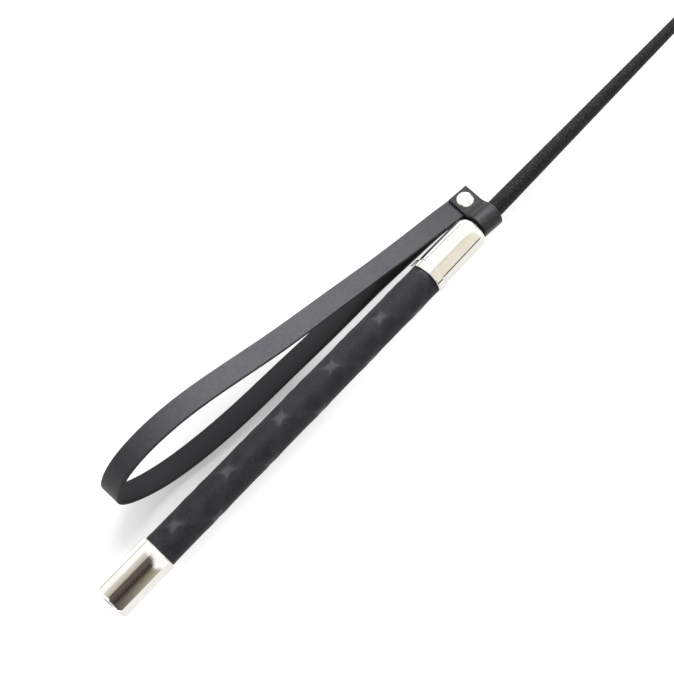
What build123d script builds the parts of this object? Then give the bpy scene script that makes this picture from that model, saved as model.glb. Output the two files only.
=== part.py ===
from build123d import *
import os
from math import cos, radians, sin

# Riding crop lying on a table. +X runs from the butt to the tip, the origin is the middle of the
# flat butt end, +Z is up and the wrist strap is on the +Y side. All sizes are in millimetres.

# Lengths along X
TOTAL_LENGTH = 610.0
CAP_LENGTH = 33.0
FERRULE_START = 222.5
COLLAR_LENGTH = 4.5
GROOVE_WIDTH = 1.0
FERRULE_END = 261.6
BAND_MIDDLE = 269.4
TAPER_START = 283.0
SHAFT_END = 547.0
POPPER_BEND = 548.0          # the popper's leather bends about the Y direction here

# Handle
METAL_RADIUS = 10.3          # butt cap and ferrule collar, which both rest on the table
CAP_EDGE_RADIUS = 2.5
GRIP_RADIUS = 9.0
CAP_WALL = 1.4
SLEEVE_WALL = 0.35
SLEEVE_IN_FERRULE = 9.0
CORE_IN_FERRULE = 27.5
CORE_RADIUS = 6.55
CORD_RADIUS = 0.5
CORD_GAP = 0.02
CORD_PITCH = 71.4
CORD_START = 6.0
CORD_TURNS = 3.1
CORD_CROSSING = 45.6         # a crossing of the cords, on the row at CORD_ROW_ANGLE
CORD_ROW_ANGLE = 73.0        # degrees from +Y towards +Z

# Ferrule
GROOVE_RADIUS = 9.2
FERRULE_RADIUS = 9.65
FERRULE_NOSE_RADIUS = 9.47
NOSE_ROUNDING = 4.0
COLLAR_ROUNDING = 0.5

# Shaft
SHAFT_RADIUS = 4.9
TIP_RADIUS = 2.2
BRAID_WALL = 0.6
SHAFT_START = 4.0

# Keeper band, loose and a little askew on the shaft, with the rivet through its two leaves
TURN_GAP = 0.6
BAND_WIDTH = 12.7
LEAF_THICKNESS = 1.85
LEAF_REACH = 19.9
BAND_TILT = -4.0             # the leaves hang a little below level
BAND_YAW = -4.5              # and point a little towards the tip
BAND_FILLET = 8.0
RIVET_REACH = 14.1
RIVET_POST_RADIUS = 1.5
RIVET_CAP_RADIUS = 4.5
RIVET_CAP_HEIGHT = 1.3
RIVET_SOCKET_DEPTH = 0.6
SWING_GAP = 0.05

# Wrist strap, one leather strip whose two ends lie on each other between the leaves
STRAP_WIDTH = 12.0
STRAP_THICKNESS = 1.9
STRAP_SPACING = 2.0          # between the middles of the two ends at the rivet
STRAP_YAW = 4.0              # the ends leave the band outwards by this angle
STRAP_STRAIGHT = 16.0        # straight stretch at each end, from the rivet
STRAP_SECTIONS = 36
# Stations on the strip's middle line, from the upper end round the bend to the lower end, and
# how far the far edge hangs down there: x, y, z and degrees
STRAP_STATIONS = [
    (237.0, 18.4, 1.2, 9.0),
    (205.0, 20.3, 9.0, 12.0),
    (172.0, 23.0, 16.4, 8.0),
    (140.0, 25.9, 22.9, 6.0),
    (108.0, 29.5, 30.8, 8.0),
    (80.0, 32.2, 35.6, 11.0),
    (58.0, 33.1, 34.8, 13.0),
    (43.0, 32.9, 28.4, 14.0),
    (36.0, 32.0, 15.5, 12.0),
    (43.0, 30.4, 2.0, 10.5),
    (58.0, 27.7, -6.1, 9.0),
    (80.0, 24.4, -8.2, 10.0),
    (108.0, 22.0, -8.0, 12.0),
    (140.0, 20.9, -7.3, 16.0),
    (172.0, 19.9, -6.7, 19.0),
    (205.0, 19.4, -5.6, 18.0),
    (237.0, 17.9, -4.0, 13.0),
]

# Tip: leather popper bound to the shaft
NECK_START = 520.0
NECK_RADIUS = 3.6
WHIPPING_START = 523.5
WHIPPING_LENGTH = 12.0
WHIPPING_WALL = 0.6
FLAP_START = POPPER_BEND + 1.6
FLAP_FULL_WIDTH_AT = 572.0
FLAP_NECK_HALF_WIDTH = 4.0
FLAP_HALF_WIDTH = 15.0
FLAP_CORNER = 5.0
FLAP_LEAF = 1.4
FLAP_GAP = 0.05

BRAID_START = FERRULE_START + CORE_IN_FERRULE
INNER_CORD_RADIUS = CORE_RADIUS + CORD_RADIUS + CORD_GAP
OUTER_CORD_RADIUS = INNER_CORD_RADIUS + 2 * CORD_RADIUS + CORD_GAP


def turned(*outline):
    """A solid turned about the X axis from (x, radius) corners."""
    face = make_face(Polyline(*outline, close=True))
    return revolve(Plane.XZ * face, Axis.X)


def braid_radius(x):
    """Outer radius of the braided shaft, which tapers evenly to the tip."""
    share = max(0.0, (x - TAPER_START) / (SHAFT_END - TAPER_START))
    return SHAFT_RADIUS + share * (TIP_RADIUS - SHAFT_RADIUS)


def circles_at(solid, x):
    """The circular edges that lie in the plane at x."""
    circles = solid.edges().filter_by(GeomType.CIRCLE)
    return [edge for edge in circles if abs(edge.center().X - x) < 0.01]


def outermost(edges):
    return max(edges, key=lambda edge: edge.radius)


def band_place(y, z):
    """Place in the band's own frame: y out along the leaves, z across them."""
    return Pos(BAND_MIDDLE, 0, 0) * Rot(0, 0, BAND_YAW) * Rot(BAND_TILT, 0, 0) * Pos(0, y, z)


def butt_cap():
    cap = turned(
        (0, 0),
        (0, METAL_RADIUS),
        (CAP_LENGTH, METAL_RADIUS),
        (CAP_LENGTH, GRIP_RADIUS),
        (CAP_WALL, GRIP_RADIUS),
        (CAP_WALL, 0),
    )
    cap = fillet(outermost(circles_at(cap, 0)), CAP_EDGE_RADIUS)
    return fillet(outermost(circles_at(cap, CAP_LENGTH)), COLLAR_ROUNDING)


def handle_core():
    core_radius = SHAFT_RADIUS - BRAID_WALL
    return turned(
        (CAP_WALL, core_radius),
        (CAP_WALL, CORE_RADIUS),
        (BRAID_START, CORE_RADIUS),
        (BRAID_START, core_radius),
    )


def grip_cords(radius, hand):
    """Two cords wound half a turn apart; hand is +1 for a right-handed winding and -1 for left."""
    turn_at_start = hand * 360.0 * (CORD_START - CORD_CROSSING) / CORD_PITCH
    first = CORD_ROW_ANGLE + turn_at_start
    path = Helix(CORD_PITCH, CORD_PITCH * CORD_TURNS, radius, lefthand=hand < 0)
    section = Plane(path @ 0, z_dir=path % 0) * Circle(CORD_RADIUS)
    cord = sweep(section, path, is_frenet=True)
    lying = Pos(CORD_START, 0, 0) * Rot(first, 0, 0) * Rot(0, 90, 0) * Rot(0, 0, 90)
    return Compound([lying * cord, Rot(180, 0, 0) * lying * cord])


def grip_sleeve():
    end = FERRULE_START + SLEEVE_IN_FERRULE
    return turned(
        (CAP_WALL, GRIP_RADIUS - SLEEVE_WALL),
        (CAP_WALL, GRIP_RADIUS),
        (end, GRIP_RADIUS),
        (end, GRIP_RADIUS - SLEEVE_WALL),
    )


def ferrule():
    collar_end = FERRULE_START + COLLAR_LENGTH
    groove_end = collar_end + GROOVE_WIDTH
    sleeve_stop = FERRULE_START + SLEEVE_IN_FERRULE
    body = turned(
        (FERRULE_START, GRIP_RADIUS),
        (FERRULE_START, METAL_RADIUS),
        (collar_end, METAL_RADIUS),
        (collar_end, GROOVE_RADIUS),
        (groove_end, GROOVE_RADIUS),
        (groove_end, FERRULE_RADIUS),
        (FERRULE_END, FERRULE_NOSE_RADIUS),
        (FERRULE_END, SHAFT_RADIUS),
        (BRAID_START, SHAFT_RADIUS),
        (BRAID_START, CORE_RADIUS),
        (sleeve_stop, CORE_RADIUS),
        (sleeve_stop, GRIP_RADIUS),
    )
    body = fillet(outermost(circles_at(body, FERRULE_END)), NOSE_ROUNDING)
    collar_rims = [outermost(circles_at(body, x)) for x in (FERRULE_START, collar_end)]
    return fillet(collar_rims, COLLAR_ROUNDING)


def shaft_core():
    return turned(
        (SHAFT_START, 0),
        (SHAFT_START, SHAFT_RADIUS - BRAID_WALL),
        (TAPER_START, SHAFT_RADIUS - BRAID_WALL),
        (SHAFT_END, TIP_RADIUS - BRAID_WALL),
        (SHAFT_END, 0),
    )


def shaft_braid():
    return turned(
        (BRAID_START, SHAFT_RADIUS - BRAID_WALL),
        (BRAID_START, SHAFT_RADIUS),
        (TAPER_START, SHAFT_RADIUS),
        (SHAFT_END, TIP_RADIUS),
        (SHAFT_END, TIP_RADIUS - BRAID_WALL),
        (TAPER_START, SHAFT_RADIUS - BRAID_WALL),
    )


def keeper_band():
    """A strip folded round the shaft, with its two ends as leaves either side of the strap."""
    bore = SHAFT_RADIUS + TURN_GAP
    reach = Pos(LEAF_REACH / 2, 0)
    leaves = reach * Rectangle(LEAF_REACH, 2 * (STRAP_SPACING + LEAF_THICKNESS))
    outside = Circle(bore + LEAF_THICKNESS) + leaves
    inner_corners = [v for v in outside.vertices() if 1 < v.X < bore + LEAF_THICKNESS]
    outside = fillet(inner_corners, BAND_FILLET)
    slot = reach * Rectangle(LEAF_REACH, 2 * STRAP_SPACING)
    profile = outside - Circle(bore) - slot
    band = band_place(0, 0) * extrude(Plane.YZ * profile, BAND_WIDTH / 2, both=True)
    return band - band_place(RIVET_REACH, 0) * Cylinder(RIVET_POST_RADIUS, 4 * METAL_RADIUS)


def domed_disc():
    """A shallow dome standing on the XY plane, as wide as the rivet's caps."""
    sphere = (RIVET_CAP_RADIUS**2 + RIVET_CAP_HEIGHT**2) / (2 * RIVET_CAP_HEIGHT)
    ball = Pos(0, 0, RIVET_CAP_HEIGHT - sphere) * Sphere(sphere)
    block = Pos(0, 0, sphere) * Box(2 * sphere, 2 * sphere, 2 * sphere)
    return ball & block


def rivet_cap():
    base = STRAP_SPACING + LEAF_THICKNESS
    socket = Pos(0, 0, RIVET_SOCKET_DEPTH / 2) * Cylinder(RIVET_POST_RADIUS, RIVET_SOCKET_DEPTH)
    return band_place(RIVET_REACH, base) * (domed_disc() - socket)


def rivet_post():
    base = STRAP_SPACING + LEAF_THICKNESS
    length = 2 * base + RIVET_SOCKET_DEPTH
    shank = Pos(0, 0, length / 2 - base) * Cylinder(RIVET_POST_RADIUS, length)
    head = Pos(0, 0, -base) * Rot(180, 0, 0) * domed_disc()
    return band_place(RIVET_REACH, 0) * (shank + head)


def strap_end_place(side, reach):
    """Place on the middle of a strap end, reach along it from the rivet; side is +1 above."""
    place = band_place(RIVET_REACH, side * STRAP_SPACING / 2)
    return place * Rot(0, 0, -STRAP_YAW) * Pos(-reach, 0, 0)


def strap_end(side):
    """The straight end of the strip, rounded and pierced at the rivet."""
    slab = Pos(-STRAP_STRAIGHT / 2, 0, 0) * Box(STRAP_STRAIGHT, STRAP_WIDTH, STRAP_THICKNESS)
    rounding = Cylinder(STRAP_WIDTH / 2, STRAP_THICKNESS)
    hole = Cylinder(RIVET_POST_RADIUS + SWING_GAP, 2 * STRAP_THICKNESS)
    return strap_end_place(side, 0) * (slab + rounding - hole)


def strap_end_section(side):
    """Cross-section where a straight end meets the free loop, facing along the strip."""
    place = Plane(strap_end_place(side, STRAP_STRAIGHT))
    facing = Plane(place.origin, x_dir=place.y_dir, z_dir=-side * place.x_dir)
    return facing * Rectangle(STRAP_WIDTH, STRAP_THICKNESS)


def drop_along(share, marks, drops):
    """The far edge's drop at a share of the strip's length, straight between the stations."""
    for i in range(1, len(marks)):
        if share <= marks[i]:
            part = (share - marks[i - 1]) / (marks[i] - marks[i - 1])
            return drops[i - 1] + part * (drops[i] - drops[i - 1])
    return drops[-1]


def strap_section(here, along, edge_drop):
    """The strip's cross-section at a point, square to the strip's direction there."""
    drop = radians(edge_drop)
    leaning = Vector(0, cos(drop), -sin(drop))
    width_way = leaning - along * leaning.dot(along)
    facing = Plane(here, x_dir=width_way, z_dir=along)
    return facing * Rectangle(STRAP_WIDTH, STRAP_THICKNESS)


def wrist_strap():
    starts = [Plane(strap_end_place(side, STRAP_STRAIGHT)) for side in (1, -1)]
    outward = -starts[0].x_dir
    points = [starts[0].origin, *(Vector(*s[:3]) for s in STRAP_STATIONS), starts[1].origin]
    drops = [-BAND_TILT, *(s[3] for s in STRAP_STATIONS), -BAND_TILT]
    middle = Spline(*points, tangents=[outward, -outward])
    marks = [middle.param_at_point(point) for point in points]
    sections = [strap_end_section(1)]
    for i in range(1, STRAP_SECTIONS):
        share = i / STRAP_SECTIONS
        drop = drop_along(share, marks, drops)
        sections.append(strap_section(middle @ share, middle % share, drop))
    sections.append(strap_end_section(-1))
    bend = STRAP_SECTIONS // 2
    upper = loft(sections[: bend + 1])
    lower = loft(sections[bend:])
    print("strap length", round(middle.length + 2 * STRAP_STRAIGHT, 1))
    return strap_end(1) + upper + lower + strap_end(-1)


def popper_leaf(side):
    """One leather leaf of the flap; side is +1 above and -1 below."""
    outline = Polyline(
        (FLAP_START, FLAP_NECK_HALF_WIDTH),
        (FLAP_FULL_WIDTH_AT, FLAP_HALF_WIDTH),
        (TOTAL_LENGTH, FLAP_HALF_WIDTH),
        (TOTAL_LENGTH, -FLAP_HALF_WIDTH),
        (FLAP_FULL_WIDTH_AT, -FLAP_HALF_WIDTH),
        (FLAP_START, -FLAP_NECK_HALF_WIDTH),
        close=True,
    )
    face = make_face(outline)
    far_corners = [v for v in face.vertices() if v.X > FLAP_START + 1]
    face = fillet(far_corners, FLAP_CORNER)
    leaf = extrude(face, FLAP_LEAF)
    return Pos(0, 0, FLAP_GAP if side > 0 else -FLAP_GAP - FLAP_LEAF) * leaf


def popper_neck():
    return turned(
        (NECK_START, braid_radius(NECK_START)),
        (NECK_START, NECK_RADIUS),
        (SHAFT_END, NECK_RADIUS),
        (SHAFT_END, braid_radius(SHAFT_END)),
    )


def tip_whipping():
    end = WHIPPING_START + WHIPPING_LENGTH
    return turned(
        (WHIPPING_START, NECK_RADIUS),
        (WHIPPING_START, NECK_RADIUS + WHIPPING_WALL),
        (end, NECK_RADIUS + WHIPPING_WALL),
        (end, NECK_RADIUS),
    )


PARTS = {
    "butt_cap": butt_cap(),
    "handle_core": handle_core(),
    "grip_cords_right": grip_cords(INNER_CORD_RADIUS, 1),
    "grip_cords_left": grip_cords(OUTER_CORD_RADIUS, -1),
    "grip_sleeve": grip_sleeve(),
    "ferrule": ferrule(),
    "shaft_core": shaft_core(),
    "shaft_braid": shaft_braid(),
    "keeper_band": keeper_band(),
    "rivet_cap": rivet_cap(),
    "rivet_post": rivet_post(),
    "wrist_strap": wrist_strap(),
    "popper_neck": popper_neck(),
    "tip_whipping": tip_whipping(),
    "popper_upper_leaf": popper_leaf(1),
    "popper_lower_leaf": popper_leaf(-1),
}

os.makedirs("parts", exist_ok=True)
for node, solid in PARTS.items():
    export_step(solid, f"parts/{node}.step")
    print(node, round(solid.volume, 1))
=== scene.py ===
from math import atan2, cos, degrees, hypot, pi, radians, sin, sqrt, tau

import bmesh
import bpy
import numpy as np
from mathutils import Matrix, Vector


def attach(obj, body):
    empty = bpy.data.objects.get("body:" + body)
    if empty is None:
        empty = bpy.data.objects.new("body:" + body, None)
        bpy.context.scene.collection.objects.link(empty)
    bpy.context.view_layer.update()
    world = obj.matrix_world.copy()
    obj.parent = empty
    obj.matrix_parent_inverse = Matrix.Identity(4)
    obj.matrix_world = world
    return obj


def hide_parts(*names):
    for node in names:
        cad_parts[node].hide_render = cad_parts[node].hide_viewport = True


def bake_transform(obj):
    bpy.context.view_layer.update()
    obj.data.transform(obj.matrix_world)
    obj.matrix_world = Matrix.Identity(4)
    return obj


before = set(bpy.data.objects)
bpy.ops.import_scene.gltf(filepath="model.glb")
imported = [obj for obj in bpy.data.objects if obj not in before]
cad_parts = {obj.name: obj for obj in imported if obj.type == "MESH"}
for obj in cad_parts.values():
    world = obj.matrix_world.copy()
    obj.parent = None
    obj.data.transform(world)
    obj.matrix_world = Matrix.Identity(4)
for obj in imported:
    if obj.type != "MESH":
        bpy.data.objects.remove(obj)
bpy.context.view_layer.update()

# Riding crop on a white table. +X runs from the butt to the tip, the origin is the middle of the
# flat butt end, +Z is up and the wrist strap is on the +Y side. Sizes are in millimetres until a
# mesh is made, and angles in degrees. An angle round the crop goes from +Y towards +Z.
MM = 0.001
TABLE_Z = -10.3
TINY = 0.01                  # added to the end of a range, so that the range includes it

# Grip
GRIP_ENDS = (1.4, 231.5)
GRIP_SHOWN = (33.0, 222.5)   # between the cap and the ferrule
GRIP_SHOULDER = 1.5          # length over which the relief starts and ends
GRIP_STEP = 0.5
GRIP_COLUMNS = 180
GRIP_SHARP = 60              # degrees, from which an edge stays sharp
GRIP_INNER_RADIUS = 8.62
GRIP_HIDDEN_RADIUS = 8.95    # inside the cap and the ferrule
GRIP_LOW_RADIUS = 8.91       # between the cords
CORD_RISE = 0.15             # over one cord
CORD_RIDGE = 1.7
CROSSING_RISE = 0.12         # added where two cords cross
STAR_REACH = 7.0             # of the raised star at a crossing, along the cords
STAR_POINTEDNESS = 0.65
STAR_SLOPE = 0.45            # share of the reach over which a star rises
CORD_PITCH = 71.4
CORD_CROSSING = 45.6
CORD_ROW_ANGLE = 76.0
CORD_ROW_TWIST = 0.056       # degrees per millimetre

# Shaft
BRAID_START = 250.0
TAPER_START = 283.0
SHAFT_END = 547.0
SHAFT_RADIUS = 4.9
TIP_RADIUS = 2.2
BRAID_WALL = 0.6
BRAID_RELIEF = 0.34
STRANDS = 16                 # each way round
BRAID_LEAD = 30.0
STEPS_PER_CELL = 6
STRAND_DIP = 0.3             # how much lower a strand is where it goes under the next
BRAID_SHARP = 75

# Keeper band
BAND_MIDDLE = 269.4
BAND_WIDTH = 12.7
BAND_BORE = 5.5
LEAF_THICKNESS = 1.85
LEAF_REACH = 19.9
BAND_TILT = 4.0              # the leaves hang this far below level
BAND_YAW = 4.5               # and point this far towards the tip
BAND_ROUNDING = 0.3          # of the strip's cut edges
BAND_SHEEN_ANGLE = 96.0       # round the shaft, where the band gets a painted highlight, partly the paler tone of rubbed leather
BAND_SHEEN_SPREAD = 17.0
BAND_FOLD_RADIUS = 8.0       # outside, where a leaf leaves the shaft
RIVET_REACH = 14.1
RIVET_HOLE_RADIUS = 1.5
BAND_CUT = 12.0              # length of the cutter, through both leaves
ARC_STEP = 4.0

# Wrist strap. Its stations are on the middle line, from the upper end round to the lower end:
# x, y, z and how far the far edge hangs down, in degrees.
STRAP_WIDTH = 12.0
STRAP_THICKNESS = 1.9
STRAP_ROUNDING = 0.35
STRAP_SPACING = 2.0
STRAP_YAW = 4.0
STRAP_STRAIGHT = 16.0
STRAP_STEP = 1.5
STRAP_HOLE_RADIUS = 1.55
STRAP_CUT = 4.5
STRAP_PAINTED_SHADE = [          # painted shade, by distance from either end: at the rivet and at the loop's bend
    (0.0, 0.55), (25.0, 0.5), (40.0, 0.25), (60.0, 0.0), (165.0, 0.0), (185.0, 0.15),
    (202.0, 0.45), (217.0, 0.68), (234.0, 1.0), (249.0, 0.85),
]
STRAP_STATIONS = [
    (237.0, 18.4, 1.2, 9.0),
    (205.0, 20.3, 9.0, 12.0),
    (172.0, 23.0, 16.4, 8.0),
    (140.0, 25.9, 22.9, 6.0),
    (108.0, 29.5, 30.8, 8.0),
    (80.0, 32.2, 35.6, 11.0),
    (58.0, 33.1, 34.8, 13.0),
    (43.0, 32.9, 28.4, 14.0),
    (36.0, 32.0, 15.5, 12.0),
    (43.0, 30.4, 2.0, 10.5),
    (58.0, 27.7, -6.1, 9.0),
    (80.0, 24.4, -8.2, 10.0),
    (108.0, 22.0, -8.0, 12.0),
    (140.0, 20.9, -7.3, 16.0),
    (172.0, 19.9, -6.7, 19.0),
    (205.0, 19.4, -5.6, 18.0),
    (237.0, 17.9, -4.0, 13.0),
]

# Edges of every leather strip
EDGE_POINTS = 10
LEATHER_SHARP = 50
TIP_POINTS = 14              # along a rounded end of the strap, or a straight leaf of the band

# Popper
NECK_START = 520.0
NECK_RADIUS = 3.6
NECK_CLEARANCE = 0.02
NECK_WRAP = 72               # degrees round the shaft that a leaf covers, each way
POPPER_BEND = 548.0
LEAF_FLAT_AT = 560.0         # the leaf is flat from here
FLAP_FULL_WIDTH_AT = 572.0
FLAP_END = 610.0
FLAP_HALF_WIDTH = 15.0
FLAP_CORNER = 5.0
FLAP_LEAF = 1.4
FLAP_GAP = 0.05
FLAP_ROUNDING = 0.3
FLAP_STEP = 0.9
FLAT_BELOW = 1e-4            # curvature
LEAF_END_THICKNESS = 0.25    # share of the thickness that is left at the rounded ends
LEAF_END_LENGTH = 0.4
WHIPPING_ENDS = (523.5, 535.5)
WHIPPING_THREAD = 0.6
STITCH_LENGTH = 2.6
STITCH_SPACING = 3.7
STITCH_INSET = 2.4
STITCH_RADIUS = 0.3
STITCH_FIRST = 1.0           # past the place where the flap has its full width
STITCH_CORNER_GAP = 2.5      # between a side row and the end row
END_STITCHES = 7
END_SPACING = 0.98           # of the spacing along the sides
STITCH_POINTS = 9
THREAD_SIDES = 8
THREAD_STEPS = 40            # in a turn of the whipping
THREAD_END = 0.3             # share of the radius that is left at an end
THREAD_SHARP = 80

# Camera
CAMERA_AT = (0.02389, -0.12202, 0.52497)
CAMERA_HEADING = 42.765      # from +X towards +Y
CAMERA_DOWN = 69.40
CAMERA_LENS = 59.41

# Studio
SKY_STRENGTH = (0.05, 0.55)  # from the darkest side to the brightest
SKY_BRIGHT_SIDE = (0.74, 0.20, 0.64)
KEY_TOWARDS = (0.42, 0.45, 0.79)
KEY_DISTANCE = 1.6           # metres
KEY_SIZE = 0.9
KEY_POWER = 22.5
KEY_AIM = (0.17, 0.0, 0.0)   # metres, on the handle
TABLE_TONE = 0.45
TABLE_PAINTED_SHADOW = [           # painted shadow: how much less the table glows, by y, beside the crop where its shadow lies
    (-300.0, 0.0), (-45.0, 0.04), (-12.0, 0.17), (8.0, 0.53), (20.0, 0.66), (34.0, 0.46),
    (60.0, 0.38), (300.0, 0.0),
]
TABLE_PAINTED_SHADOW_SHARE = [          # the share of that painted shadow, by x: most of it along the strap's loop
    (-300.0, 0.0), (-20.0, 0.5), (30.0, 0.6), (80.0, 1.0), (135.0, 1.0), (150.0, 0.8),
    (170.0, 0.5), (560.0, 0.5), (900.0, 0.0),
]
BACKDROP_RADIUS = 2900.0
ROOM_RADIUS = 900.0
ROOM_ENDS = (-2000, 3000)
ROOM_WHITE = 1.08
CARD_RADIUS = 450.0
STRIP_MIDDLE = 45            # degrees from overhead
STRIP_NARROWING = 0.8
STRIP_BUTT_ENDS = (-400, -170, -30)
SILL_FORWARD = 5.0           # in front of the other cards
REFLECTED_TABLE_X = (-60, 620)
REFLECTED_TABLE_Y = (-14, -700)
REFLECTED_TABLE_LIFT = 0.1


# Meshes

def unit(vectors):
    """Each vector at length 1."""
    return vectors / np.linalg.norm(vectors, axis=-1, keepdims=True)


def link_mesh(name, points, faces):
    """A new object with these points, in millimetres, and faces that all point outwards."""
    mesh = bpy.data.meshes.new(name)
    mesh.from_pydata((np.asarray(points) * MM).tolist(), [], faces)
    tidy = bmesh.new()
    tidy.from_mesh(mesh)
    bmesh.ops.recalc_face_normals(tidy, faces=tidy.faces)
    tidy.to_mesh(mesh)
    tidy.free()
    piece = bpy.data.objects.new(name, mesh)
    bpy.context.scene.collection.objects.link(piece)
    return piece


def ease(share):
    """A share from 0 to 1 with a gentle start and end."""
    return share * share * (3 - 2 * share)


def smooth(piece, sharp_from):
    """Smooth shading, with edges sharper than that angle kept."""
    piece.data.shade_smooth()
    piece.data.set_sharp_from_angle(angle=radians(sharp_from))
    return piece


def ring_faces(rows, columns, looped=False):
    """Faces over a row of closed rings. The ends are filled, or joined when looped."""
    index = np.arange(rows * columns).reshape(rows, columns)
    here = index if looped else index[:-1]
    after = np.roll(index, -1, axis=0) if looped else index[1:]
    corners = [here, after, np.roll(after, -1, axis=1), np.roll(here, -1, axis=1)]
    faces = np.stack(corners, axis=-1).reshape(-1, 4).tolist()
    if not looped:
        faces += [index[0].tolist(), index[-1].tolist()]
    return faces


def sheet_faces(rows, columns):
    """Faces over an open grid of points."""
    index = np.arange(rows * columns).reshape(rows, columns)
    corners = [index[:-1, :-1], index[1:, :-1], index[1:, 1:], index[:-1, 1:]]
    return np.stack(corners, axis=-1).reshape(-1, 4).tolist()


def skin(name, rings, looped=False):
    """A mesh over a row of closed rings."""
    rings = np.asarray(rings, float)
    return link_mesh(name, rings.reshape(-1, 3), ring_faces(*rings.shape[:2], looped))


def keep_values(piece, name, values):
    """Stores a number, or a vector, at each point for the materials to read."""
    values = np.asarray(values, np.float32)
    kind, field = ("FLOAT_VECTOR", "vector") if values.shape[-1] == 3 else ("FLOAT", "value")
    attribute = piece.data.attributes.new(name, kind, "POINT")
    attribute.data.foreach_set(field, values.ravel())


def keep_along(piece, name, values):
    """Stores one number for each ring of a piece."""
    keep_values(piece, name, np.repeat(values, len(piece.data.vertices) // len(values)))


def around(x, radius, angles):
    """Points at these angles, in radians, round the crop's line."""
    x, radius, angles = np.broadcast_arrays(x, radius, angles)
    return np.stack([x, radius * np.cos(angles), radius * np.sin(angles)], axis=-1)


def drill(piece, centre, axis, radius, depth):
    """Cuts a round hole through a piece."""
    bpy.ops.mesh.primitive_cylinder_add(vertices=48, radius=radius * MM, depth=depth * MM)
    cutter = bpy.context.object
    cutter.rotation_mode = "QUATERNION"
    cutter.rotation_quaternion = Vector(axis).to_track_quat("Z", "Y")
    cutter.location = Vector(centre) * MM
    hole = piece.modifiers.new("hole", "BOOLEAN")
    hole.operation = "DIFFERENCE"
    hole.solver = "EXACT"
    hole.object = cutter
    bpy.context.view_layer.update()
    drilled = bpy.data.meshes.new_from_object(piece.evaluated_get(bpy.context.evaluated_depsgraph_get()))
    piece.modifiers.remove(hole)
    piece.data = drilled
    bpy.data.objects.remove(cutter)
    return piece


# Materials

def new_material(name, **sockets):
    """A material and its shader, with the sockets set by name; _ stands for a space."""
    material = bpy.data.materials.new(name)
    material.use_nodes = True
    shader = material.node_tree.nodes["Principled BSDF"]
    for socket, value in sockets.items():
        shader.inputs[socket.replace("_", " ")].default_value = value
    return material, shader


def add_node(shader, kind, **settings):
    """A node in the shader's tree; a setting that is a socket's name fills that input."""
    node = shader.id_data.nodes.new(kind)
    for name, value in settings.items():
        socket = node.inputs.get(name.replace("_", " "))
        if socket is None:
            setattr(node, name, value)
        elif isinstance(value, bpy.types.NodeSocket):
            shader.id_data.links.new(value, socket)
        else:
            socket.default_value = value
    return node


def feed(shader, socket, source):
    """Links an output to the shader's socket of that name."""
    shader.id_data.links.new(source, shader.inputs[socket])


def object_place(shader, stretch=(1, 1, 1)):
    """The point's place on the piece, in millimetres, stretched along the axes."""
    place = add_node(shader, "ShaderNodeTexCoord").outputs["Object"]
    scale = tuple(s / MM for s in stretch)
    return add_node(shader, "ShaderNodeMapping", Vector=place, Scale=scale).outputs[0]


def stored(shader, name, stretch=None):
    """A value stored on the mesh; with stretch, a stored vector stretched along its axes."""
    node = add_node(shader, "ShaderNodeAttribute", attribute_name=name)
    if stretch is None:
        return node.outputs["Fac"]
    return add_node(shader, "ShaderNodeMapping", Vector=node.outputs["Vector"], Scale=stretch).outputs[0]


def noise(shader, place, size, detail=2.0, roughness=0.5):
    """Cloudy noise with features of about that size in millimetres."""
    settings = {"Vector": place, "Scale": 1 / size, "Detail": detail, "Roughness": roughness}
    return add_node(shader, "ShaderNodeTexNoise", **settings).outputs["Fac"]


def pebbles(shader, place, size):
    """Distance to the nearest crease between leather pebbles of that size."""
    settings = {"feature": "DISTANCE_TO_EDGE", "Vector": place, "Scale": 1 / size, "Randomness": 0.9}
    return add_node(shader, "ShaderNodeTexVoronoi", **settings).outputs["Distance"]


def spread(shader, source, before, after):
    """Maps a range of values onto another, clamped."""
    node = add_node(shader, "ShaderNodeMapRange", Value=source)
    node.inputs["From Min"].default_value, node.inputs["From Max"].default_value = before
    node.inputs["To Min"].default_value, node.inputs["To Max"].default_value = after
    return node.outputs[0]


def combine(shader, operation, first, second):
    """One number worked out from two, which are outputs or plain numbers."""
    node = add_node(shader, "ShaderNodeMath", operation=operation)
    for socket, value in zip(node.inputs, (first, second)):
        if isinstance(value, bpy.types.NodeSocket):
            shader.id_data.links.new(value, socket)
        else:
            socket.default_value = value
    return node.outputs[0]


def ramp(shader, source, *stops):
    """Colours along a value, each stop a position and a colour."""
    node = add_node(shader, "ShaderNodeValToRGB", Fac=source)
    marks = node.color_ramp.elements
    for mark, (position, colour) in zip([marks[0], marks[1]], (stops[0], stops[-1])):
        mark.position = position
        mark.color = (*colour, 1)
    for position, colour in stops[1:-1]:
        marks.new(position).color = (*colour, 1)
    return node.outputs[0]


def blend_colours(shader, share, first, second):
    """The first colour where the share is 0, the second where it is 1."""
    node = add_node(shader, "ShaderNodeMix", data_type="RGBA")
    for socket, value in zip((node.inputs[0], node.inputs[6], node.inputs[7]), (share, first, second)):
        shader.id_data.links.new(value, socket)
    return node.outputs[2]


def bump(shader, height, depth, over=None):
    """A bump of that depth in millimetres for a height from 0 to 1, over an earlier bump."""
    node = add_node(shader, "ShaderNodeBump", Height=height, Distance=depth * MM)
    if over is not None:
        shader.id_data.links.new(over, node.inputs["Normal"])
    return node.outputs[0]


def grey(value, tint=(1.0, 1.0, 1.0)):
    """A grey, or a tinted grey, as a colour."""
    return tuple(value * t for t in tint)


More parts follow.
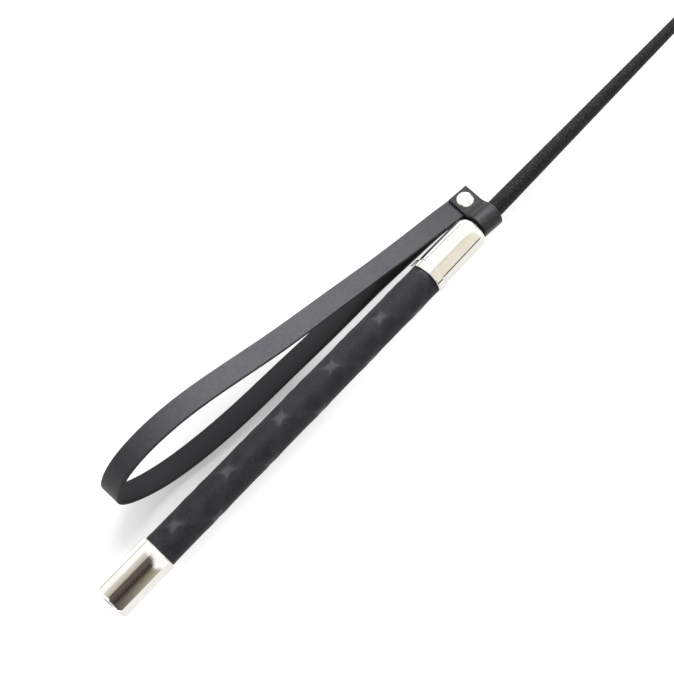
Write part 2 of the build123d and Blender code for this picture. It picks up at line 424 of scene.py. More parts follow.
def chrome_material():
    """Bright plating with faint smudges and fine scratches along the piece."""
    material, shader = new_material("polished_chrome", Metallic=1.0)
    place = object_place(shader)
    smudge = noise(shader, place, 9.0, detail=4.0)
    feed(shader, "Base Color", ramp(shader, smudge, (0.3, (0.90, 0.88, 0.84)), (0.7, (0.95, 0.94, 0.92))))
    feed(shader, "Roughness", spread(shader, smudge, (0.35, 0.75), (0.02, 0.05)))
    scratches = noise(shader, object_place(shader, (0.15, 3.0, 3.0)), 0.5, detail=3.0)
    feed(shader, "Normal", bump(shader, scratches, 0.0012))
    return material


def rubber_material():
    """Matte sleeve, smoother and with a painted highlight, partly wear, that makes it paler at the raised
    crossings of the cords and a little along the cords.
    """
    material, shader = new_material("grip_rubber_sheen_and_wear", Specular_IOR_Level=0.15)
    place = object_place(shader)
    cloud = noise(shader, place, 7.0, detail=4.0)
    speck = noise(shader, place, 0.9, detail=3.0)
    mix = combine(shader, "MULTIPLY", combine(shader, "ADD", cloud, speck), 0.5)
    tint = (1.0, 0.975, 1.14)
    plain = ramp(shader, mix, (0.36, grey(0.020, tint)), (0.64, grey(0.040, tint)))
    # painted highlight, partly wear: the paler colour used at the crossings and along the cords
    painted_sheen_and_wear = ramp(shader, mix, (0.36, grey(0.058, tint)), (0.64, grey(0.098, tint)))
    patches = spread(shader, cloud, (0.3, 0.6), (0.65, 1.0))
    # where the painted highlight lies: the stars at the crossings, in patches, and a little along the cords
    patchy = combine(shader, "MULTIPLY", stored(shader, "star"), patches)
    pale_sheen_and_wear = combine(shader, "ADD", patchy, spread(shader, stored(shader, "cord"), (0, 1), (0, 0.16)))
    share = spread(shader, pale_sheen_and_wear, (0.0, 1.1), (0.0, 1.0))
    feed(shader, "Base Color", blend_colours(shader, share, plain, painted_sheen_and_wear))
    dull = spread(shader, mix, (0.38, 0.62), (0.52, 0.62))
    feed(shader, "Roughness", combine(shader, "SUBTRACT", dull, spread(shader, pale_sheen_and_wear, (0, 1), (0, 0.12))))
    grain = noise(shader, place, 0.35, detail=3.0, roughness=0.6)
    feed(shader, "Normal", bump(shader, grain, 0.05))
    return material


def braid_material():
    """Plaited yarn: painted shade in the valleys, fine fibres along each strand and a few paler threads."""
    sockets = {"Specular_IOR_Level": 0.15, "Sheen_Weight": 0.02, "Sheen_Roughness": 0.5}
    material, shader = new_material("braided_yarn", **sockets)
    tone = noise(shader, object_place(shader), 1.1, detail=2.0)
    yarn = ramp(shader, tone, (0.36, grey(0.004)), (0.52, grey(0.012)), (0.68, grey(0.042)))
    # painted shade: the yarn is darker in the valleys between the crowns
    painted_valley_shade = ramp(shader, tone, (0.0, grey(0.003)), (1.0, grey(0.006)))
    raised = spread(shader, stored(shader, "crown"), (0.1, 0.7), (0.0, 1.0))
    feed(shader, "Base Color", blend_colours(shader, raised, painted_valley_shade, yarn))
    feed(shader, "Roughness", spread(shader, tone, (0.3, 0.7), (0.42, 0.62)))
    fibres = noise(shader, object_place(shader), 0.16, detail=2.0)
    feed(shader, "Normal", bump(shader, fibres, 0.05))
    return material


def leather_material(name, outer, inner, edge, shine, specular, nap):
    """A strip's leather: smooth grain outside, suede inside and burnished cut edges. Outer, inner
    and edge are their greys, shine is the range of the grain's roughness and nap the depth of the
    fuzz. The grain is paler where a painted highlight, partly wear, is stored and darker where
    painted shade is stored."""
    material, shader = new_material(name, Specular_IOR_Level=specular)
    place = stored(shader, "strip", (1, 1, 1))
    side = stored(shader, "side")
    cloud = noise(shader, place, 14.0, detail=5.0)
    mottle = noise(shader, place, 1.6, detail=3.0)
    mix = combine(shader, "MULTIPLY", combine(shader, "ADD", cloud, mottle), 0.5)
    plain, bluish = (1.0, 0.99, 1.04), (1.0, 0.965, 1.2)
    smooth_grain = ramp(shader, mix, (0.36, grey(outer * 0.82, bluish)), (0.64, grey(outer * 1.18, plain)))
    # painted highlight, partly wear: a paler grain where it is stored, on the band's crowns
    pale_sheen_and_wear = ramp(shader, mottle, (0.3, grey(0.05, bluish)), (0.7, grey(0.085, plain)))
    # painted shade: a darker grain where it is stored, along the strap near the rivet and at the loop's bend
    painted_shade = ramp(shader, mix, (0.36, grey(outer * 0.26, bluish)), (0.64, grey(outer * 0.36, plain)))
    grain = blend_colours(shader, stored(shader, "painted_sheen_and_wear"), smooth_grain, pale_sheen_and_wear)
    grain = blend_colours(shader, stored(shader, "painted_shade"), grain, painted_shade)
    suede = ramp(shader, mottle, (0.3, grey(inner * 0.7, bluish)), (0.7, grey(inner * 1.4, bluish)))
    cut = ramp(shader, mottle, (0.3, grey(edge * 0.7)), (0.7, grey(edge * 1.3)))
    inside = blend_colours(shader, spread(shader, side, (-0.9, -0.7), (0.0, 1.0)), suede, cut)
    top = spread(shader, side, (0.7, 0.93), (0.0, 1.0))
    feed(shader, "Base Color", blend_colours(shader, top, inside, grain))
    outside = spread(shader, side, (0.6, 0.95), (0.0, 1.0))
    matte = spread(shader, mottle, (0.3, 0.7), (0.62, 0.74))
    glossy = spread(shader, mix, (0.36, 0.64), shine)
    lift = combine(shader, "MULTIPLY", combine(shader, "SUBTRACT", glossy, matte), outside)
    feed(shader, "Roughness", combine(shader, "ADD", matte, lift))
    creases = spread(shader, pebbles(shader, place, 0.55), (0.0, 0.12), (0.0, 1.0))
    fuzz = noise(shader, stored(shader, "strip", (0.5, 1.3, 1.0)), 0.3, detail=3.0, roughness=0.65)
    pores = bump(shader, creases, 0.012)
    feed(shader, "Normal", bump(shader, fuzz, nap, pores))
    return material


def thread_material():
    """Dark waxed thread or hard laid cord."""
    material, shader = new_material("waxed_thread", Specular_IOR_Level=0.5)
    place = object_place(shader)
    tone = noise(shader, place, 0.8, detail=3.0)
    feed(shader, "Base Color", ramp(shader, tone, (0.3, grey(0.012)), (0.7, grey(0.032))))
    feed(shader, "Roughness", spread(shader, tone, (0.3, 0.7), (0.38, 0.55)))
    feed(shader, "Normal", bump(shader, noise(shader, place, 0.14), 0.03))
    return material


def plain_material(name, low, high, size, rough, depth):
    """Moulded or drawn material for the inner pieces: two tones, the size of their patches, the
    range of roughness and the depth of the bump."""
    material, shader = new_material(name)
    place = object_place(shader)
    tone = noise(shader, place, size, detail=3.0)
    feed(shader, "Base Color", ramp(shader, tone, (0.3, low), (0.7, high)))
    feed(shader, "Roughness", spread(shader, tone, (0.3, 0.7), rough))
    feed(shader, "Normal", bump(shader, noise(shader, place, 0.3, detail=2.0), depth))
    return material


def dress(piece, body, material, replaced=()):
    """Gives a new piece its material and body, and hides the CAD nodes it stands for."""
    piece.data.materials.clear()
    piece.data.materials.append(material)
    if body is not None:
        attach(piece, body)
    if replaced:
        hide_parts(*replaced)
    return piece


# Grip sleeve

def helix_distance(x, angles, hand):
    """Distance along the surface to the nearest of the two cords wound that way."""
    row = np.radians(CORD_ROW_ANGLE + CORD_ROW_TWIST * (x - CORD_CROSSING))
    turn = row + hand * tau * (x - CORD_CROSSING) / CORD_PITCH
    off = (angles - turn + pi / 2) % pi - pi / 2
    circle = tau * GRIP_LOW_RADIUS
    return off * GRIP_LOW_RADIUS * CORD_PITCH / hypot(CORD_PITCH, circle)


def grip_sleeve():
    """The sleeve follows the cords under it, with a raised star at each crossing."""
    x = np.arange(GRIP_ENDS[0], GRIP_ENDS[1] + TINY, GRIP_STEP)[:, None]
    angles = np.linspace(0, tau, GRIP_COLUMNS, endpoint=False)[None, :]
    right = np.abs(helix_distance(x, angles, 1))
    left = np.abs(helix_distance(x, angles, -1))
    lift = np.exp(-((np.minimum(right, left) / CORD_RIDGE) ** 2))
    fade = (right**STAR_POINTEDNESS + left**STAR_POINTEDNESS) / STAR_REACH**STAR_POINTEDNESS
    star = ease(np.clip((1 - fade) / STAR_SLOPE, 0, 1))
    shown = np.clip(np.minimum(x - GRIP_SHOWN[0], GRIP_SHOWN[1] - x) / GRIP_SHOULDER, 0, 1)
    raised = GRIP_LOW_RADIUS + CORD_RISE * lift + CROSSING_RISE * star
    outer = around(x, GRIP_HIDDEN_RADIUS + shown * (raised - GRIP_HIDDEN_RADIUS), angles)
    inner = around(x[::-1], GRIP_INNER_RADIUS, angles)
    piece = skin("grip_sleeve_wrapped", np.concatenate([outer, inner]), looped=True)
    plain = np.zeros(inner.shape[0] * inner.shape[1])
    keep_values(piece, "cord", np.concatenate([lift.ravel(), plain]))
    keep_values(piece, "star", np.concatenate([star.ravel(), plain]))
    return smooth(piece, GRIP_SHARP)


# Shaft

def shaft_radius(x):
    """Outer radius of the shaft, which tapers to its tip."""
    share = np.clip((x - TAPER_START) / (SHAFT_END - TAPER_START), 0, 1)
    return SHAFT_RADIUS + share * (TIP_RADIUS - SHAFT_RADIUS)


def braid_crown(x, angles):
    """Height of the plaited strands, from 0 in the valleys to 1 on the crowns."""
    one_way = STRANDS * (angles / tau + x / BRAID_LEAD)
    other_way = STRANDS * (angles / tau - x / BRAID_LEAD)
    over = (np.floor(one_way) + np.floor(other_way)) % 2 == 0
    across = np.where(over, one_way, other_way) % 1
    along = np.where(over, other_way, one_way) % 1
    profile = np.sqrt(np.clip(1 - (2 * across - 1) ** 2, 0, 1))
    return profile * (1 - STRAND_DIP + STRAND_DIP * np.sin(pi * along))


def shaft_cover():
    """The plaited tube, which tapers with the shaft."""
    columns = STRANDS * STEPS_PER_CELL
    step = BRAID_LEAD / columns
    x = np.arange(BRAID_START, SHAFT_END, step)[:, None]
    angles = np.linspace(0, tau, columns, endpoint=False)[None, :]
    crown = braid_crown(x + step / 2, angles + 0 * x)
    relief = BRAID_RELIEF * shaft_radius(x) / SHAFT_RADIUS
    outer = around(x, shaft_radius(x) - relief * (1 - crown), angles)
    inner = around(x[::-1], shaft_radius(x[::-1]) - BRAID_WALL, angles)
    piece = skin("shaft_braid_plaited", np.concatenate([outer, inner]), looped=True)
    keep_values(piece, "crown", np.concatenate([crown.ravel(), np.zeros(inner.shape[0] * columns)]))
    return smooth(piece, BRAID_SHARP)


# Leather strips

def strip_section(half_width, half_thickness, rounding, flat_steps=8):
    """Outline of a strip's cross-section as (across, height) points with rounded corners."""
    rounding = min(rounding, 0.98 * half_width)
    flat = np.linspace(1, -1, flat_steps, endpoint=False)[1:] * (half_width - rounding)
    top = [(a, half_thickness) for a in flat]
    turns = np.radians(np.linspace(90, 270, EDGE_POINTS))
    far = []
    for turn in turns:
        height = (half_thickness - rounding) * np.sign(np.round(sin(turn), 6)) + rounding * sin(turn)
        far.append((-(half_width - rounding) + rounding * cos(turn), height))
    half = top + far
    return np.array(half + [(-a, -h) for a, h in half])


def lengths_along(points):
    """Distance from the first point to each point, along the line of points."""
    return np.concatenate([[0], np.cumsum(np.linalg.norm(np.diff(points, axis=0), axis=1))])


def ribbon(name, middles, across, half_widths, thickness, rounding):
    """A leather strip along its middle line, with its own flat coordinates and sides stored."""
    along = unit(np.gradient(middles, axis=0))
    across = unit(across - along * np.sum(across * along, axis=1, keepdims=True))
    outward = unit(np.cross(across, along))
    lengths = lengths_along(middles)
    rings = []
    flats = []
    for i, half_width in enumerate(half_widths):
        section = strip_section(half_width, thickness / 2, rounding)
        rings.append(middles[i] + section[:, :1] * across[i] + section[:, 1:] * outward[i])
        flats.append([(lengths[i], a, h) for a, h in section])
    flats = np.array(flats).reshape(-1, 3)
    piece = skin(name, rings)
    keep_values(piece, "strip", flats)
    keep_values(piece, "side", flats[:, 2] / (thickness / 2))
    return smooth(piece, LEATHER_SHARP)


def in_band(y, z, x=0.0):
    """A place in the band's own frame: y out along the leaves, z across them."""
    tilt, yaw = radians(BAND_TILT), radians(BAND_YAW)
    out = y * cos(tilt) + z * sin(tilt)
    forward = BAND_MIDDLE + x * cos(yaw) + out * sin(yaw)
    return np.array([forward, out * cos(yaw) - x * sin(yaw), z * cos(tilt) - y * sin(tilt)])


def arc(centre, radius, first, last):
    """Points of an arc in the band's frame, between angles in degrees."""
    count = max(3, int(abs(last - first) / ARC_STEP) + 1)
    turns = np.radians(np.linspace(first, last, count))
    return [(centre[0] + radius * cos(t), centre[1] + radius * sin(t)) for t in turns]


def rivet_hole(piece, radius, depth):
    """Drills a strip where the rivet's post goes through it."""
    axis = in_band(0, 1) - in_band(0, 0)
    return smooth(drill(piece, in_band(RIVET_REACH, 0), axis, radius, depth), LEATHER_SHARP)


def keeper_band():
    """The strip leaves the upper leaf's end, goes round the shaft and back to the lower end."""
    level = STRAP_SPACING + LEAF_THICKNESS / 2
    loop = BAND_BORE + LEAF_THICKNESS / 2
    fold = BAND_FOLD_RADIUS + LEAF_THICKNESS / 2
    fold_y = sqrt((loop + fold) ** 2 - (level + fold) ** 2)
    meet = degrees(atan2(level + fold, fold_y))
    leaf = [(y, level) for y in np.linspace(LEAF_REACH, fold_y, TIP_POINTS, endpoint=False)]
    bend = arc((fold_y, level + fold), fold, 270, 180 + meet)
    half = leaf + bend
    ring = arc((0, 0), loop, meet, 360 - meet)[1:-1]
    line = half + ring + [(y, -z) for y, z in reversed(half)]
    middles = np.array([in_band(y, z) for y, z in line])
    across = np.tile(in_band(0, 0, -1) - in_band(0, 0), (len(middles), 1))
    widths = np.full(len(middles), BAND_WIDTH / 2)
    piece = ribbon("keeper_band_leather", middles, across, widths, LEAF_THICKNESS, BAND_ROUNDING)
    round_shaft = [hypot(y, z) < loop + TINY for y, z in line]
    turns = np.array([degrees(atan2(z, y)) if near else 0.0 for near, (y, z) in zip(round_shaft, line)])
    # painted highlight, partly rubbed wear: the band is paler on its crowns round the shaft
    keep_along(piece, "painted_sheen_and_wear", np.exp(-(((np.abs(turns) - BAND_SHEEN_ANGLE) / BAND_SHEEN_SPREAD) ** 2)))
    return rivet_hole(piece, RIVET_HOLE_RADIUS, BAND_CUT)


def clamped_spline(points, first_way, last_way, step):
    """A smooth curve through the points that leaves and arrives in the given directions."""
    chords = np.linalg.norm(np.diff(points, axis=0), axis=1)
    marks = lengths_along(points)
    count = len(points)
    matrix = np.zeros((count, count))
    right = np.zeros((count, 3))
    matrix[0, 0] = matrix[-1, -1] = 1
    right[0], right[-1] = first_way, last_way
    for i in range(1, count - 1):
        before, after = chords[i - 1], chords[i]
        matrix[i, i - 1 : i + 2] = after, 2 * (before + after), before
        slopes = (points[i] - points[i - 1]) / before, (points[i + 1] - points[i]) / after
        right[i] = 3 * (after * slopes[0] + before * slopes[1])
    ways = np.linalg.solve(matrix, right)
    places = np.linspace(0, marks[-1], int(marks[-1] / step) + 1)
    found = []
    for place in places:
        i = min(int(np.searchsorted(marks, place, side="right")) - 1, count - 2)
        span = chords[i]
        t = (place - marks[i]) / span
        found.append(
            (1 + 2 * t) * (1 - t) ** 2 * points[i]
            + t * (1 - t) ** 2 * span * ways[i]
            + t * t * (3 - 2 * t) * points[i + 1]
            + t * t * (t - 1) * span * ways[i + 1]
        )
    return np.array(found), places, marks


def strap_end_point(side, reach):
    """A point on the middle of a strap end, reach along it from the rivet; side is +1 above."""
    yaw = radians(STRAP_YAW)
    return in_band(RIVET_REACH + reach * sin(yaw), side * STRAP_SPACING / 2, -reach * cos(yaw))


def wrist_strap():
    """One strip, from its rounded upper end round the loop to the lower end under it."""
    end_radius = STRAP_WIDTH / 2
    tips = -end_radius * np.cos(np.radians(np.linspace(3, 90, TIP_POINTS)))
    straight = np.concatenate([tips, np.arange(1.0, STRAP_STRAIGHT - 0.5, STRAP_STEP)])
    upper = np.array([strap_end_point(1, reach) for reach in straight])
    lower = np.array([strap_end_point(-1, reach) for reach in straight])
    starts = [strap_end_point(side, STRAP_STRAIGHT) for side in (1, -1)]
    outward = unit(strap_end_point(1, 1) - strap_end_point(1, 0))
    stations = np.array([s[:3] for s in STRAP_STATIONS])
    points = np.concatenate([starts[:1], stations, starts[1:]])
    loop, places, marks = clamped_spline(points, outward, -outward, STRAP_STEP)
    drops = np.interp(places, marks, [BAND_TILT, *(s[3] for s in STRAP_STATIONS), BAND_TILT])
    end_drops = np.full(len(straight), BAND_TILT)
    drops = np.radians(np.concatenate([end_drops, drops, end_drops]))
    middles = np.concatenate([upper, loop, lower[::-1]])
    across = np.stack([0 * drops, np.cos(drops), -np.sin(drops)], axis=1)
    end_widths = np.sqrt(end_radius**2 - np.minimum(straight, 0) ** 2)
    widths = np.concatenate([end_widths, np.full(len(loop), end_radius), end_widths[::-1]])
    piece = ribbon("wrist_strap_leather", middles, across, widths, STRAP_THICKNESS, STRAP_ROUNDING)
    lengths = lengths_along(middles)
    from_end = np.minimum(lengths, lengths[-1] - lengths)
    # painted shade: the strap is darker near the rivet and at the loop's bend
    keep_along(piece, "painted_shade", np.interp(from_end, *zip(*STRAP_PAINTED_SHADE)))
    return rivet_hole(piece, STRAP_HOLE_RADIUS, STRAP_CUT)


# Popper

def flap_half_width(x):
    """Half the width of the leather, measured along its curve."""
    neck = NECK_RADIUS * radians(NECK_WRAP)
    share = np.clip((x - POPPER_BEND) / (FLAP_FULL_WIDTH_AT - POPPER_BEND), 0, 1)
    width = neck + (FLAP_HALF_WIDTH - neck) * ease(share)
    past = np.clip(x - (FLAP_END - FLAP_CORNER), 0, FLAP_CORNER)
    return width - FLAP_CORNER + np.sqrt(FLAP_CORNER**2 - past**2)


def curled(section, curl):
    """A cross-section bent round with that curvature."""
    across, up = section.T
    if curl < FLAT_BELOW:
        return across, up
    radius = 1 / curl
    return (radius + up) * np.sin(across * curl), (radius + up) * np.cos(across * curl) - radius


def popper_leaf(side):
    """One leather leaf, side +1 above: it hugs the shaft at the neck and flattens into the flap."""
    x = np.concatenate([
        np.arange(NECK_START, FLAP_END - FLAP_CORNER, FLAP_STEP),
        FLAP_END - FLAP_CORNER + FLAP_CORNER * np.sin(np.radians(np.linspace(0, 88, 16))),
    ])
    neck_thickness = NECK_RADIUS - shaft_radius(NECK_START) - 2 * NECK_CLEARANCE
    share = ease(np.clip((x - SHAFT_END) / (LEAF_FLAT_AT - SHAFT_END), 0, 1))
    thickness = neck_thickness + (FLAP_LEAF - neck_thickness) * share
    neck_middle = shaft_radius(x) + NECK_CLEARANCE + neck_thickness / 2
    curl = (1 - share) / neck_middle
    height = neck_middle + (FLAP_GAP + FLAP_LEAF / 2 - neck_middle) * share
    ends = np.minimum(x - x[0], x[-1] - x)
    rings = []
    flats = []
    sides = []
    for i, half_width in enumerate(flap_half_width(x)):
        rounded = LEAF_END_THICKNESS + (1 - LEAF_END_THICKNESS) * sqrt(min(1.0, ends[i] / LEAF_END_LENGTH))
        section = strip_section(half_width, thickness[i] / 2 * rounded, FLAP_ROUNDING, flat_steps=16)
        y, z = curled(section, curl[i])
        rings.append(np.stack([np.full(len(y), x[i]), y, side * (height[i] + z)], axis=1))
        flats.append(np.stack([np.full(len(y), x[i]), section[:, 0], section[:, 1]], axis=1))
        sides.append(section[:, 1] / (thickness[i] / 2 * rounded))
    name = "popper_leather_upper" if side > 0 else "popper_leather_lower"
    piece = skin(name, rings)
    keep_values(piece, "strip", np.concatenate(flats))
    keep_values(piece, "side", np.concatenate(sides))
    return smooth(piece, LEATHER_SHARP)


def tube(path, radius):
    """Rings of a thin tube along a path round the crop, thinned at both ends."""
    along = unit(np.gradient(path, axis=0))
    outward = path * (0, 1, 1)
    outward = unit(outward - along * np.sum(outward * along, axis=1, keepdims=True))
    sideways = np.cross(along, outward)
    radii = np.full(len(path), radius)
    radii[[0, -1]] = radius * THREAD_END
    turns = np.linspace(0, tau, THREAD_SIDES, endpoint=False)
    circle = outward[:, None] * np.cos(turns)[:, None] + sideways[:, None] * np.sin(turns)[:, None]
    return path[:, None] + radii[:, None, None] * circle


def tip_whipping():
    """Thread wound round the neck, one turn beside the next."""
    turns = (WHIPPING_ENDS[1] - WHIPPING_ENDS[0]) / WHIPPING_THREAD - 1
    angles = np.arange(0, turns * tau, tau / THREAD_STEPS)
    x = WHIPPING_ENDS[0] + WHIPPING_THREAD * (0.5 + angles / tau)
    path = around(x, NECK_RADIUS + WHIPPING_THREAD / 2, angles)
    return smooth(skin("tip_whipping_thread", tube(path, WHIPPING_THREAD / 2)), THREAD_SHARP)


def stitch_line():
    """Places of the stitches: along both long sides and across the end, inset from the edge."""
    side_y = FLAP_HALF_WIDTH - STITCH_INSET
    end_x = FLAP_END - STITCH_INSET
    first_x = FLAP_FULL_WIDTH_AT + STITCH_FIRST
    places = []
    for x in np.arange(first_x, end_x - STITCH_CORNER_GAP, STITCH_SPACING):
        places += [(x, side_y, 0.0), (x, -side_y, 0.0)]
    from_middle = np.arange(END_STITCHES) - (END_STITCHES - 1) / 2
    places += [(end_x, y, 90.0) for y in from_middle * STITCH_SPACING * END_SPACING]
    return places


def popper_stitches():
    """Each stitch is a short thread that dips into the leather at both ends, on both faces."""
    surface = FLAP_GAP + FLAP_LEAF
    share = np.linspace(-1, 1, STITCH_POINTS)
    points = []
    faces = []
    for x, y, heading in stitch_line():
        way = np.array([cos(radians(heading)), sin(radians(heading)), 0.0])
        cross = np.array([-way[1], way[0], 0.0])
        for side in (1, -1):
            lift = surface + STITCH_RADIUS * (0.55 - 1.5 * share**4)
            middles = np.array([x, y, 0]) + share[:, None] * way * STITCH_LENGTH / 2
            middles[:, 2] = side * lift
            turns = np.linspace(0, tau, THREAD_SIDES, endpoint=False)
            radii = STITCH_RADIUS * np.sqrt(1.02 - share**6)
            circle = np.cos(turns)[:, None] * cross + np.sin(turns)[:, None] * np.array([0, 0, 1.0])
            rings = middles[:, None] + radii[:, None, None] * circle
            faces += [[len(points) + corner for corner in face] for face in ring_faces(*rings.shape[:2])]
            points += rings.reshape(-1, 3).tolist()
    return smooth(link_mesh("popper_stitches", points, faces), THREAD_SHARP)


# Studio

def glow_material():
    """Glows with the colour stored at each point."""
    material = bpy.data.materials.new("card_glow")
    material.use_nodes = True
    nodes = material.node_tree.nodes
    nodes.clear()
    tone = nodes.new("ShaderNodeAttribute")
    tone.attribute_name = "glow"
    glow = nodes.new("ShaderNodeEmission")
    out = nodes.new("ShaderNodeOutputMaterial")
    material.node_tree.links.new(tone.outputs["Color"], glow.inputs["Color"])
    material.node_tree.links.new(glow.outputs[0], out.inputs["Surface"])
    return material


def reflected_only(piece, material):
    """Makes a part of the studio that shows in reflections and nowhere else."""
    piece.data.materials.append(material)
    piece.visible_camera = False
    piece.visible_diffuse = False
    piece.visible_transmission = False
    piece.visible_shadow = False


def card(name, material, *rows, radius=CARD_RADIUS, steps=8):
    """A curved card beside the crop. Each row is a list of marks: an angle from overhead towards
    -Y, a place along x and a colour."""
    marks = np.array([[(angle, x, *colour) for angle, x, colour in row] for row in rows], float)
    at = np.linspace(0, len(rows) - 1, steps * (len(rows) - 1) + 1)
    before = np.minimum(at.astype(int), len(rows) - 2)
    share = (at - before)[:, None, None]
    grid = marks[before] * (1 - share) + marks[before + 1] * share
    turns = np.radians(grid[..., 0])
    points = np.stack([grid[..., 1], -radius * np.sin(turns), radius * np.cos(turns)], axis=-1)
    piece = link_mesh(name, points.reshape(-1, 3), sheet_faces(*grid.shape[:2]))
    keep_values(piece, "glow", grid[..., 2:].reshape(-1, 3))
    reflected_only(piece, material)


def strip_row(angle, end, near_butt, near_grip):
    """A row of the dark strip that the cap reflects. Past the butt it is narrower and plain grey."""
    narrow = STRIP_MIDDLE + STRIP_NARROWING * (angle - STRIP_MIDDLE)
    far, near, butt = STRIP_BUTT_ENDS
    steel = grey(0.12)
    return [(narrow, far, steel), (narrow, near, steel), (angle, butt, near_butt), (angle, end, near_grip)]


def wide_card(name, material, *rows, **shape):
    """A card with one colour to a row: its angle, its two ends along x and the colour."""
    marks = ([(angle, first, tone), (angle, last, tone)] for angle, first, last, tone in rows)
    card(name, material, *marks, **shape)


def butt_end_cards(glow, white):
    """The dark strip that the cap reflects, and the fringe between it and the white room."""
    fringe = (-110, 31.4)
    wide_card(
        "room_fringe",
        glow,
        (-49, *fringe, white),
        (-38, *fringe, (0.74, 0.70, 0.64)),
        (-22, *fringe, (0.60, 0.55, 0.49)),
        (-8, *fringe, (0.44, 0.39, 0.35)),
    )
    mauve = (0.13, 0.108, 0.095)
    coal = (0.045, 0.037, 0.030)
    card("room_strip", glow, *(strip_row(*row) for row in (
        (-8, 33.0, mauve, mauve),
        (11, 32.5, (0.10, 0.085, 0.075), (0.123, 0.096, 0.084)),
        (22, 31.5, (0.065, 0.056, 0.050), (0.075, 0.062, 0.054)),
        (28, 30.5, coal, coal),
        (35, 30.0, coal, (0.06, 0.05, 0.04)),
        (46, 28.0, (0.073, 0.063, 0.055), (0.17, 0.155, 0.12)),
        (58, 27.5, (0.070, 0.062, 0.055), (0.28, 0.265, 0.20)),
        (75, 30.0, (0.050, 0.046, 0.044), (0.42, 0.40, 0.31)),
        (91, 31.5, (0.060, 0.054, 0.052), (0.52, 0.47, 0.38)),
    )))


def ferrule_cards(glow):
    """The beige panel that the ferrule reflects, with a dark sill along its lower edge."""
    wide_card(
        "room_beige",
        glow,
        (5, 398, 446, (0.70, 0.665, 0.59)),
        (10, 380, 449, (0.74, 0.70, 0.62)),
        (14, 375, 452, (0.87, 0.81, 0.69)),
        (40, 370, 456, (0.89, 0.83, 0.72)),
        (84, 370, 458, (0.89, 0.84, 0.75)),
    )
    sill = (0.12, 0.10, 0.07)
    upper_edge = [(83, 375, sill), (76, 454, sill)]
    lower_edge = [(92, 375, sill), (85, 454, sill)]
    card("room_sill", glow, upper_edge, lower_edge, radius=CARD_RADIUS - SILL_FORWARD)


def leather_cards(glow, white):
    """A shade beside the grip, a lamp that the band shines with and a grey horizon."""
    shaded = (60, 350)
    shade = grey(0.05)
    wide_card("room_shade", glow, (46, *shaded, white), (60, *shaded, shade), (91, *shaded, shade))
    lit = (440, 540)
    lamp = grey(4.0)
    wide_card("room_lamp", glow, (-52, *lit, white), (-43, *lit, lamp), (-30, *lit, lamp), (-24, *lit, white))
    far = (-60, 452)
    horizon = grey(0.6)
    wide_card("room_horizon", glow, (-78, *far, white), (-85, *far, horizon), (-91, *far, horizon))


def reflected_table(glow):
    """The pale table that the chrome shows on the -Y side."""
    (left, right), (near, far) = REFLECTED_TABLE_X, REFLECTED_TABLE_Y
    z = TABLE_Z + REFLECTED_TABLE_LIFT
    corners = [(left, near, z), (right, near, z), (right, far, z), (left, far, z)]
    table = link_mesh("room_table", corners, [[0, 1, 2, 3]])
    keep_values(table, "glow", [(0.93, 0.92, 0.90)] * len(corners))
    reflected_only(table, glow)


def room(glow):
    """What the chrome and the leather reflect: a white room with a few darker and brighter parts."""
    white = grey(ROOM_WHITE)
    walls = (-115, *ROOM_ENDS, white), (100, *ROOM_ENDS, white)
    wide_card("room_white", glow, *walls, radius=ROOM_RADIUS, steps=40)
    butt_end_cards(glow, white)
    ferrule_cards(glow)
    leather_cards(glow, white)
    reflected_table(glow)


def floor():
    """A table that glows, so that the shadows on it are soft and pale, with painted shadow where it glows a
    little less beside the crop.
    """
    edge = BACKDROP_RADIUS
    across = [(-edge, 0.0), *TABLE_PAINTED_SHADOW, (edge, 0.0)]
    along = [(-edge, 0.0), *TABLE_PAINTED_SHADOW_SHARE, (edge, 0.0)]
    points = [(x, y, TABLE_Z) for y, _ in across for x, _ in along]
    piece = link_mesh("table_top", points, sheet_faces(len(across), len(along)))
    # painted shadow: the glow dips beside the crop
    keep_values(piece, "glow", [1 - dip * share for _, dip in across for _, share in along])
    sockets = {"Base_Color": (*grey(TABLE_TONE), 1), "Roughness": 0.9, "Specular_IOR_Level": 0.1}
    material, shader = new_material("table_white", Emission_Color=(1, 1, 1, 1), **sockets)
    feed(shader, "Emission Strength", stored(shader, "glow"))
    piece.data.materials.append(material)


def backdrop(glow):
    """A white dome that only the camera sees."""
    bpy.ops.mesh.primitive_uv_sphere_add(segments=64, ring_count=32, radius=BACKDROP_RADIUS * MM)
    piece = bpy.context.object
    piece.name = "backdrop"
    keep_values(piece, "glow", np.ones((len(piece.data.vertices), 3)))
    piece.data.materials.append(glow)
    piece.visible_diffuse = False
    piece.visible_glossy = False
    piece.visible_transmission = False
    piece.visible_shadow = False


def area_light(name, towards, distance, size, power):
    """A round soft light, in that direction from the handle."""
    lamp = bpy.data.lights.new(name, "AREA")
    lamp.shape = "DISK"
    lamp.size = size
    lamp.energy = power
    piece = bpy.data.objects.new(name, lamp)
    bpy.context.scene.collection.objects.link(piece)
    way = Vector(towards).normalized()
    piece.location = Vector(KEY_AIM) + way * distance
    piece.rotation_mode = "QUATERNION"
    piece.rotation_quaternion = way.to_track_quat("Z", "Y")


def sky():
    """Faint light all round, brighter from one side."""
    world = bpy.data.worlds.new("studio")
    bpy.context.scene.world = world
    world.use_nodes = True
    background = world.node_tree.nodes["Background"]
    background.inputs["Color"].default_value = (1, 1, 1, 1)
    way = add_node(background, "ShaderNodeTexCoord").outputs["Generated"]
    side = add_node(background, "ShaderNodeVectorMath", operation="DOT_PRODUCT")
    world.node_tree.links.new(way, side.inputs[0])
    side.inputs[1].default_value = SKY_BRIGHT_SIDE
    feed(background, "Strength", spread(background, side.outputs["Value"], (-1, 1), SKY_STRENGTH))


def studio():
    """The light and everything round the crop."""
    bpy.context.scene.view_settings.view_transform = "Standard"
    sky()
    area_light("key", KEY_TOWARDS, KEY_DISTANCE, KEY_SIZE, KEY_POWER)
    floor()
    glow = glow_material()
    backdrop(glow)
    room(glow)


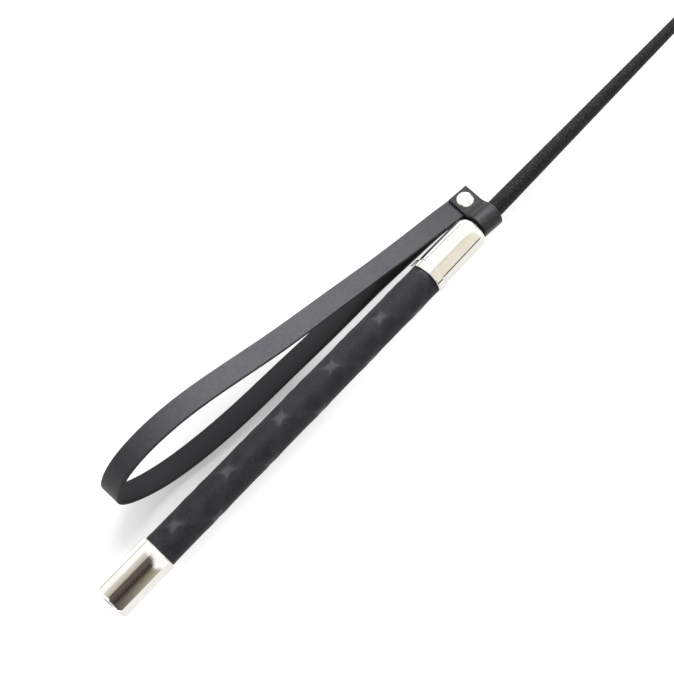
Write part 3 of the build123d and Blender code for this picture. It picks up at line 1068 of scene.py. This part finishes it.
def camera():
    """Looks down on the handle, from the -Y side of the butt towards the tip."""
    heading, down = radians(CAMERA_HEADING), radians(CAMERA_DOWN)
    forward = Vector((cos(down) * cos(heading), cos(down) * sin(heading), -sin(down)))
    lens = bpy.data.cameras.new("camera")
    lens.lens = CAMERA_LENS
    lens.sensor_width = 36.0
    lens.clip_start = 0.01
    eye = bpy.data.objects.new("camera", lens)
    bpy.context.scene.collection.objects.link(eye)
    eye.location = CAMERA_AT
    eye.rotation_mode = "QUATERNION"
    eye.rotation_quaternion = forward.to_track_quat("-Z", "Y")
    bpy.context.scene.camera = eye


camera()
studio()

chrome = chrome_material()
rubber = rubber_material()
braid = braid_material()
thread = thread_material()
band_leather = leather_material("band_leather_black", 0.019, 0.014, 0.02, (0.24, 0.30), 0.36, 0.006)
strap_leather = leather_material("strap_leather_black", 0.086, 0.011, 0.035, (0.42, 0.52), 0.25, 0.03)
popper_leather = leather_material("popper_leather_black", 0.045, 0.03, 0.012, (0.36, 0.46), 0.45, 0.02)
fibre_tones = (0.68, 0.66, 0.54), (0.76, 0.74, 0.63)
fibre_rod = plain_material("glass_fibre_rod", *fibre_tones, 3.0, (0.3, 0.45), 0.02)
carried_over = {
    "butt_cap": chrome,
    "ferrule": chrome,
    "rivet_cap": chrome,
    "rivet_post": chrome,
    "handle_core": plain_material("core_moulded", grey(0.10), grey(0.14), 5.0, (0.45, 0.6), 0.02),
    "shaft_core": fibre_rod,
    "grip_cords_right": thread,
    "grip_cords_left": thread,
}
for node, material in carried_over.items():
    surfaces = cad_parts[node].data.materials
    surfaces.clear()
    surfaces.append(material)

dress(grip_sleeve(), "handle", rubber, ["grip_sleeve"])
dress(shaft_cover(), "handle", braid, ["shaft_braid"])
dress(keeper_band(), "keeper", band_leather, ["keeper_band"])
dress(wrist_strap(), "strap", strap_leather, ["wrist_strap"])
dress(tip_whipping(), "handle", thread, ["tip_whipping"])
dress(popper_stitches(), "popper", thread)
leaf_nodes = {1: ["popper_upper_leaf", "popper_neck"], -1: ["popper_lower_leaf"]}
for side, nodes in leaf_nodes.items():
    leaf = dress(popper_leaf(side), None, popper_leather, nodes)
    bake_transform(leaf)
